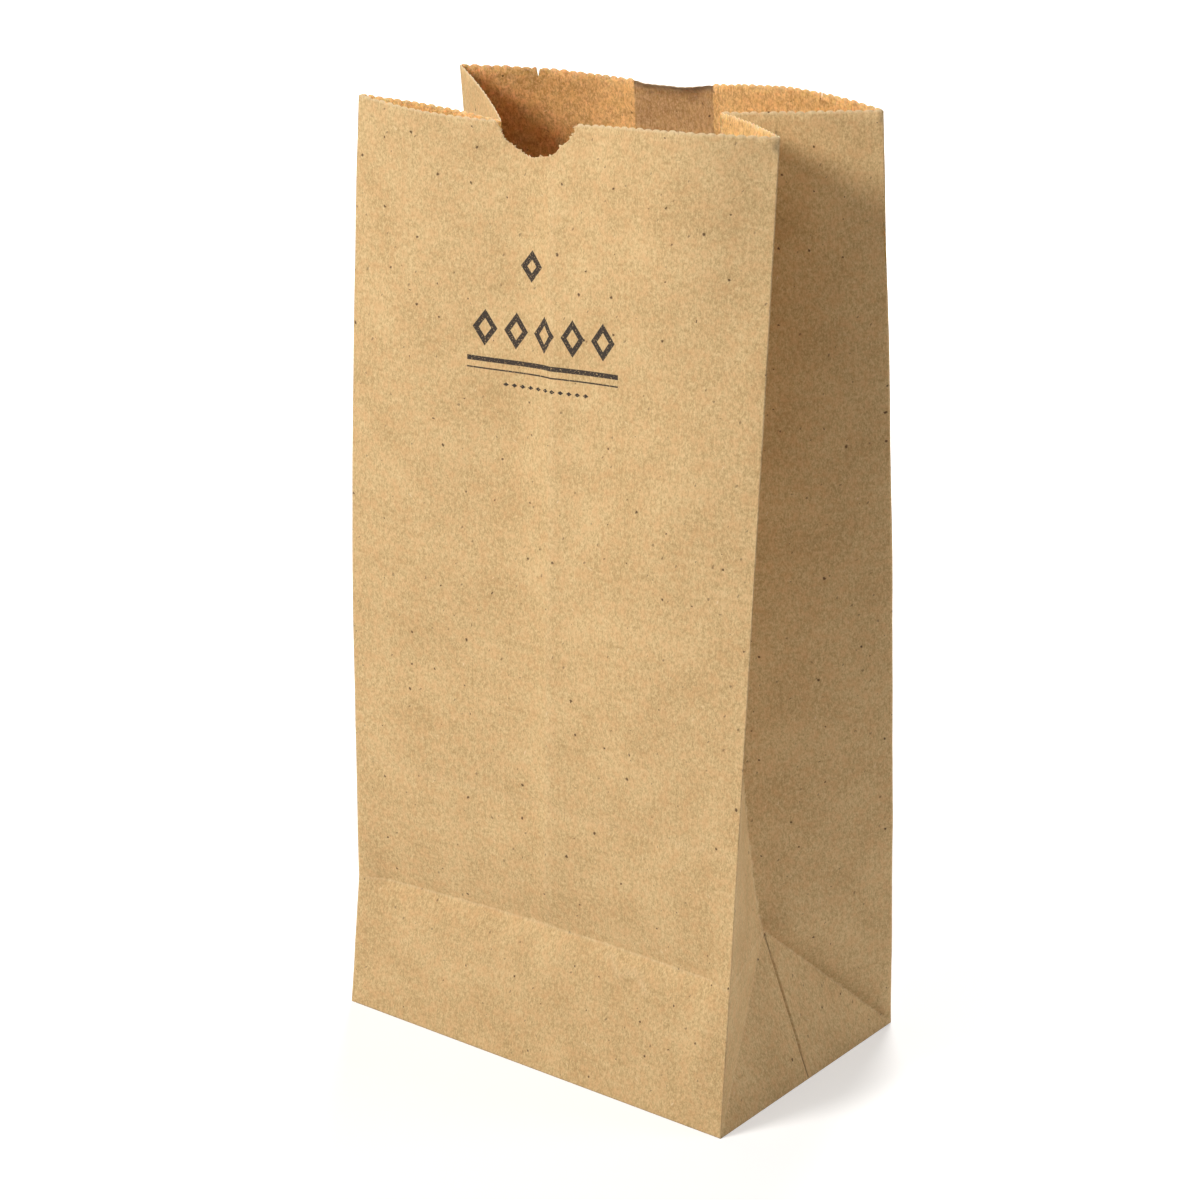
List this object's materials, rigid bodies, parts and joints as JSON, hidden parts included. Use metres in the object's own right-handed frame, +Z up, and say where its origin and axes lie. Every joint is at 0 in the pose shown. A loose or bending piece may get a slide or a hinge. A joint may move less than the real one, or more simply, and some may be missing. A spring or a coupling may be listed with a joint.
{
  "type": "paper bag",
  "caption": "Brown kraft paper lunch bag standing open: flat folded base, pleated sides, toothed mouth with a thumb notch.",
  "frame": {"origin": "centre of the folded base, on the surface that the bag stands on", "axes": "+Z up towards the mouth, -Y out of the front panel with the thumb notch, X across the front panel"},
  "size_m": [0.1618, 0.1, 0.3184],
  "materials": {
    "kraft_paper": "matte"
  },
  "bodies": {
    "root": {"paper_bag": "kraft_paper"}
  },
  "joints": []
}
